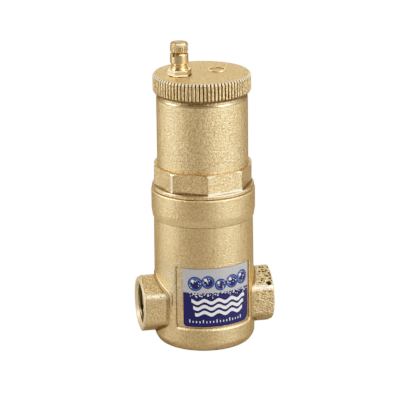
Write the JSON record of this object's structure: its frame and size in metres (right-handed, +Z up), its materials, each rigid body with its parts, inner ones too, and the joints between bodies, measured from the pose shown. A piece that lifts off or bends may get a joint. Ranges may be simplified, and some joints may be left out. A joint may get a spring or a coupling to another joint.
{
  "type": "automatic air vent",
  "caption": "In-line heating air separator: upright brass body with hexagonal threaded ports, screwed float chamber and knurled lid carrying a float-operated, capped vent valve.",
  "frame": {"origin": "centre of the flat base, on the axis of the upright body", "axes": "+Z up along the body, X along the pipe through the two ports, the label faces -Y"},
  "size_m": [0.078, 0.0604, 0.1802],
  "materials": {
    "cast_brass": "sand-blasted, fine-grained, satin",
    "turned_brass": "turned, bright",
    "stainless_steel": "drawn and stamped stainless steel",
    "seal_rubber": "moulded EPDM rubber",
    "black_nylon": "glass-filled nylon",
    "float_plastic": "moulded polypropylene",
    "label_film": "printed silver and dark blue film"
  },
  "bodies": {
    "separator": {"body_casting": "cast_brass", "label_plate": "label_film", "separator_cage": "black_nylon", "separator_mesh": "stainless_steel", "flow_baffle": "black_nylon", "chamber_o_ring": "seal_rubber", "float_chamber": "cast_brass"},
    "lid_seal": {"lid_o_ring": "seal_rubber"},
    "lid": {"lid": "cast_brass", "valve_gasket": "seal_rubber", "valve_body": "turned_brass", "stem_guide": "black_nylon", "vent_spring": "stainless_steel", "bracket_nut": "turned_brass", "lever_bracket": "stainless_steel", "lever_pin": "stainless_steel", "pin_clip_left": "stainless_steel", "pin_clip_right": "stainless_steel", "guide_rod": "stainless_steel", "rod_clip": "stainless_steel"},
    "cap_seal": {"cap_seal": "seal_rubber"},
    "vent_cap": {"vent_cap": "turned_brass"},
    "float": {"float": "float_plastic"},
    "float_lever": {"float_lever": "stainless_steel"},
    "vent_stem": {"vent_stem": "stainless_steel", "stem_seal": "seal_rubber", "spring_clip": "stainless_steel"}
  },
  "joints": [
    {"name": "lid_lift", "type": "slide", "parent": "separator", "child": "lid_seal", "axis": [0, 0, 1], "range_m": [0, 0.0045]},
    {"name": "lid_turn", "type": "hinge", "parent": "lid_seal", "child": "lid", "pos_m": [0, 0, 0.15], "axis": [0, 0, 1], "range_deg": [0, 1080.5]},
    {"name": "cap_lift", "type": "slide", "parent": "lid", "child": "cap_seal", "axis": [0, 0, 1], "range_m": [0, 0.0015]},
    {"name": "cap_turn", "type": "hinge", "parent": "cap_seal", "child": "vent_cap", "pos_m": [-0.01332, -0.00149, 0.176], "axis": [0, 0, 1], "range_deg": [0, 540.5]},
    {"name": "float_rise", "type": "slide", "parent": "lid", "child": "float", "axis": [0, 0, 1], "range_m": [0, 0.0062]},
    {"name": "lever_tilt", "type": "hinge", "parent": "lid", "child": "float_lever", "pos_m": [-0.01888, -0.00212, 0.146], "axis": [0.1115, -0.9938, 0], "range_deg": [0, 18.85]},
    {"name": "stem_lift", "type": "slide", "parent": "lid", "child": "vent_stem", "axis": [0, 0, 1], "range_m": [0, 0.00184], "deforming": ["vent_spring"]}
  ],
  "couplings": [
    {"joint": "lid_turn", "follows": "lid_lift", "rad_per_m": 4188.8},
    {"joint": "cap_turn", "follows": "cap_lift", "rad_per_m": 6283.2},
    {"joint": "lever_tilt", "follows": "float_rise", "rad_per_m": 52.9},
    {"joint": "stem_lift", "follows": "float_rise", "ratio": 0.295}
  ]
}
